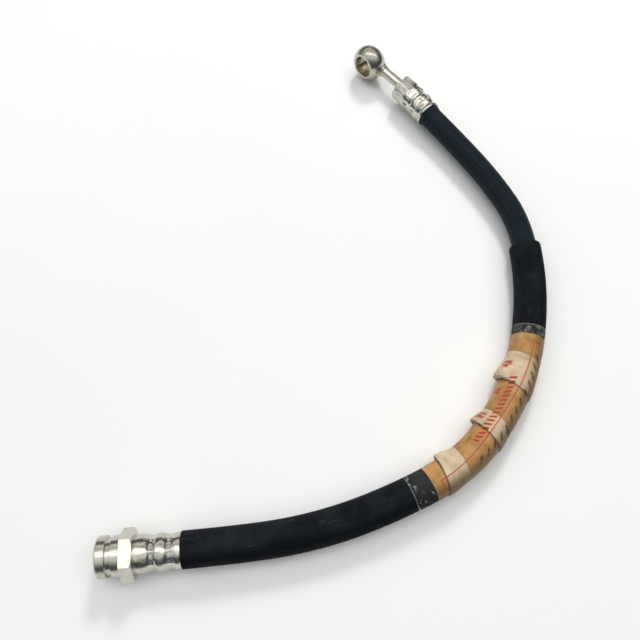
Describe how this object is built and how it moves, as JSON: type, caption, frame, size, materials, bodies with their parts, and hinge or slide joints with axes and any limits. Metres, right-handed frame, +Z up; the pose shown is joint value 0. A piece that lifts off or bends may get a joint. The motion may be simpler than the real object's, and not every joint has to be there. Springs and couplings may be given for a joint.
{
  "type": "brake hose assembly",
  "caption": "Flexible hydraulic brake hose with a female hex end, a protective sleeve with a paper label, and a banjo end on a slim neck.",
  "frame": {"origin": "middle of the box round the two metal fittings, on the surface that the hose lies on", "axes": "+Z up; +Y from the female end towards the banjo end, the longest side of the box round the fittings; +X towards the outside of the hose bend"},
  "size_m": [0.1823, 0.2545, 0.018],
  "materials": {
    "plated_steel": "bright zinc plate with a faint yellow cast, turned and pressed",
    "stem_steel": "plain turned steel",
    "braze": "plated braze fillet",
    "liner_rubber": "smooth extruded rubber",
    "braid": "braided polyester cord",
    "cover_rubber": "black extruded rubber with fine lengthwise lines",
    "sleeve_rubber": "matt black rubber with dust",
    "label_paper": "tan paper with red rules, buckled",
    "clear_film": "clear glossy tape, wrinkled"
  },
  "bodies": {
    "root": {"hose_inner_liner": "liner_rubber", "hose_inner_braid": "braid", "hose_middle_rubber": "liner_rubber", "hose_outer_braid": "braid", "hose_outer_cover": "cover_rubber", "protective_sleeve": "sleeve_rubber", "paper_label": "label_paper", "clear_tape": "clear_film", "female_end_body": "plated_steel", "female_crimp_shell": "plated_steel", "female_insert_stem": "stem_steel", "banjo_crimp_shell": "plated_steel", "banjo_insert_stem": "stem_steel", "banjo_socket": "plated_steel", "banjo_locating_lug": "plated_steel", "banjo_neck_tube": "plated_steel", "banjo_braze_ring_rear": "braze", "banjo_braze_ring_front": "braze", "banjo_eye": "plated_steel"}
  },
  "joints": []
}
